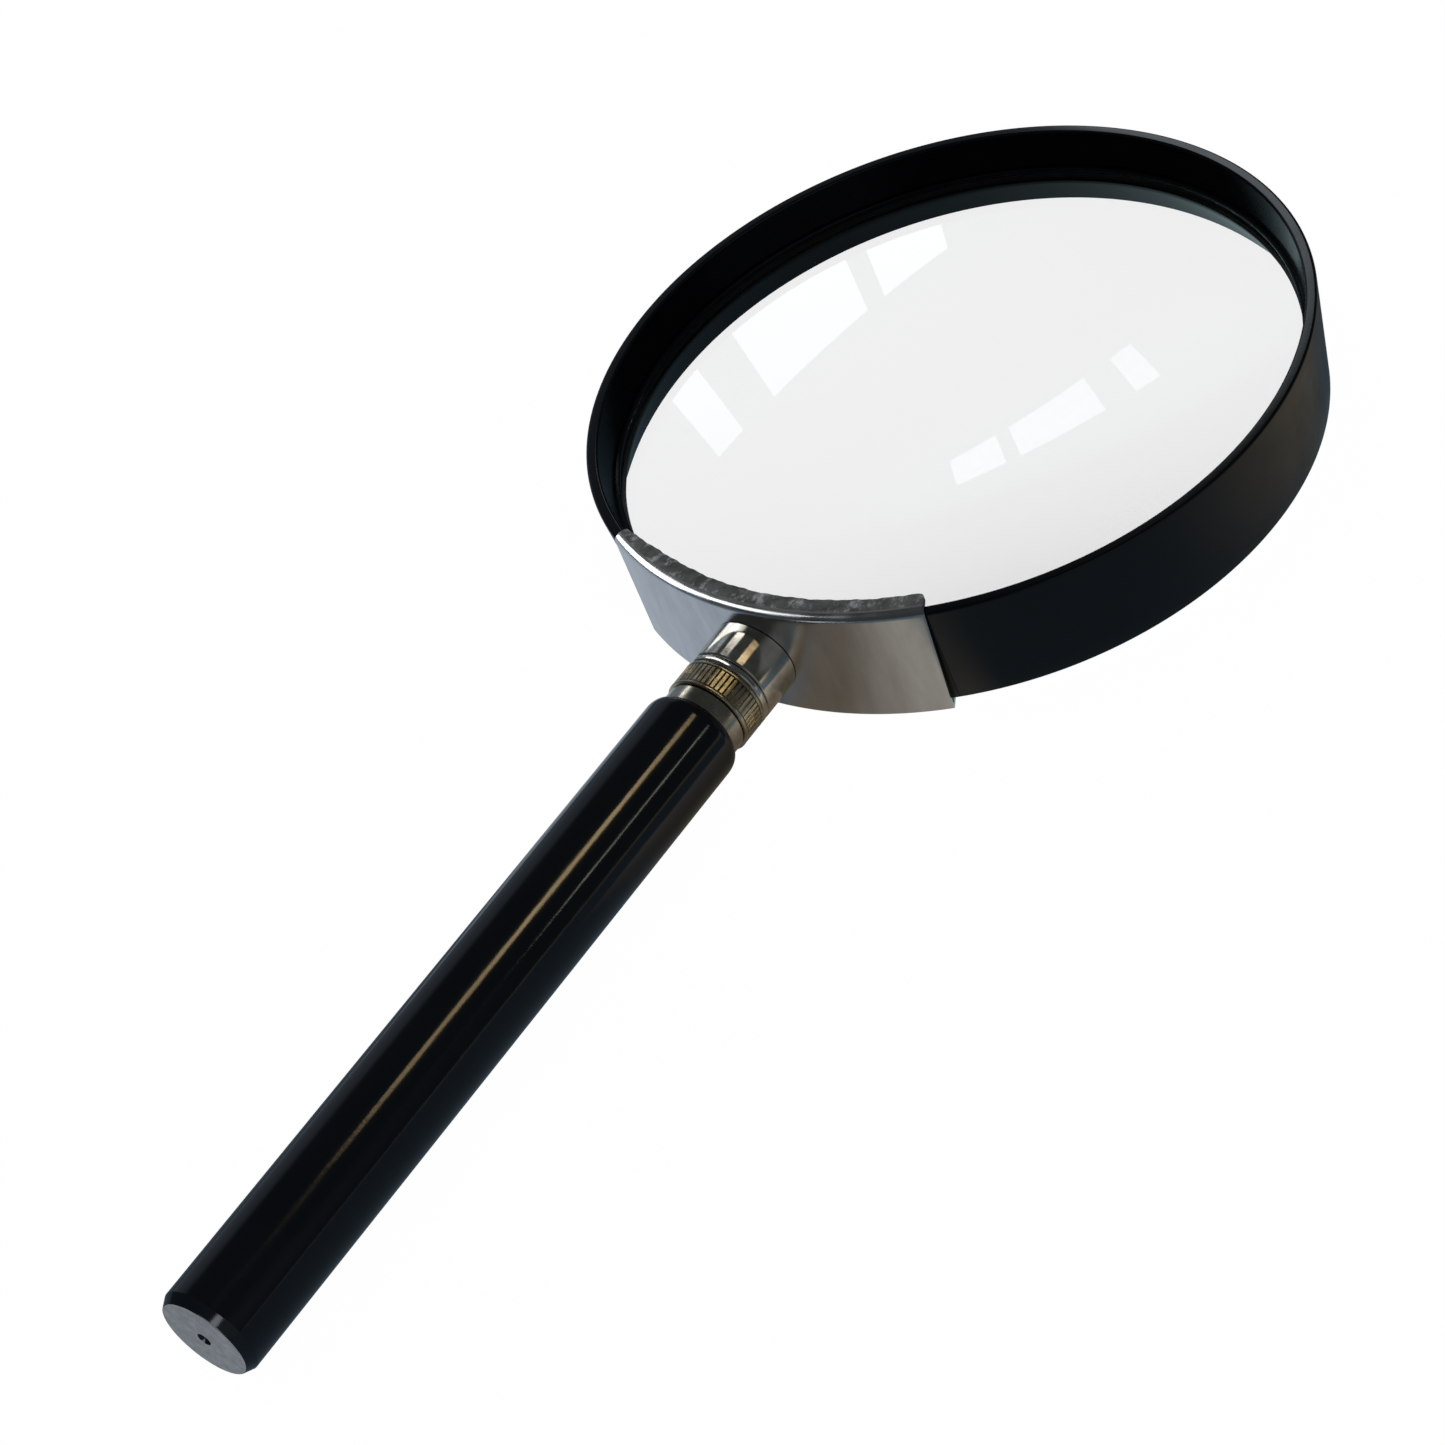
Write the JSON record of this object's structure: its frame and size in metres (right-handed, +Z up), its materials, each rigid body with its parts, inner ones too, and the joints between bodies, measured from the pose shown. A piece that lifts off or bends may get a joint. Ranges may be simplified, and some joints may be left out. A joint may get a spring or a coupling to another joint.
{
  "type": "magnifying glass",
  "caption": "Round hand magnifier: biconvex lens in a deep black band, held by a folded steel saddle with a tapped neck, and a straight round handle that unscrews.",
  "frame": {"origin": "centre of the outline, on the surface that the magnifier lies on", "axes": "+Z up along the lens axis, +Y from the handle towards the lens, +X to the right"},
  "size_m": [0.106, 0.2276, 0.0187],
  "materials": {
    "band_plastic": "satin moulded black, smoother on the inside wall",
    "retainer_plastic": "satin moulded black",
    "lens_glass": "polished clear",
    "saddle_steel": "satin, polished by handling, with fine scratches",
    "neck_nickel": "bright nickel plate with fine turning marks",
    "collar_nickel": "bright nickel plate over a straight knurl",
    "washer_steel": "bright polished",
    "bush_brass": "turned",
    "insert_brass": "turned",
    "stud_steel": "zinc plated thread",
    "handle_plastic": "polished gloss black, matt on the sawn end"
  },
  "bodies": {
    "head": {"rim_band": "band_plastic", "lens": "lens_glass", "lens_retaining_ring": "retainer_plastic", "saddle_plate": "saddle_steel", "socket_sleeve": "neck_nickel", "threaded_bush": "bush_brass"},
    "washer": {"thrust_washer": "washer_steel"},
    "handle": {"knurled_collar": "collar_nickel", "handle_ferrule": "neck_nickel", "handle_stud": "stud_steel", "stud_insert": "insert_brass", "handle_grip": "handle_plastic"}
  },
  "joints": [
    {"name": "handle_draw", "type": "slide", "parent": "head", "child": "washer", "axis": [0, -1, 0], "range_m": [0, 0.006]},
    {"name": "handle_turn", "type": "hinge", "parent": "washer", "child": "handle", "pos_m": [0, -0.01, 0.00935], "axis": [0, -1, 0], "range_deg": [0, 2160]}
  ],
  "couplings": [
    {"joint": "handle_turn", "follows": "handle_draw", "rad_per_m": 6283.2}
  ]
}
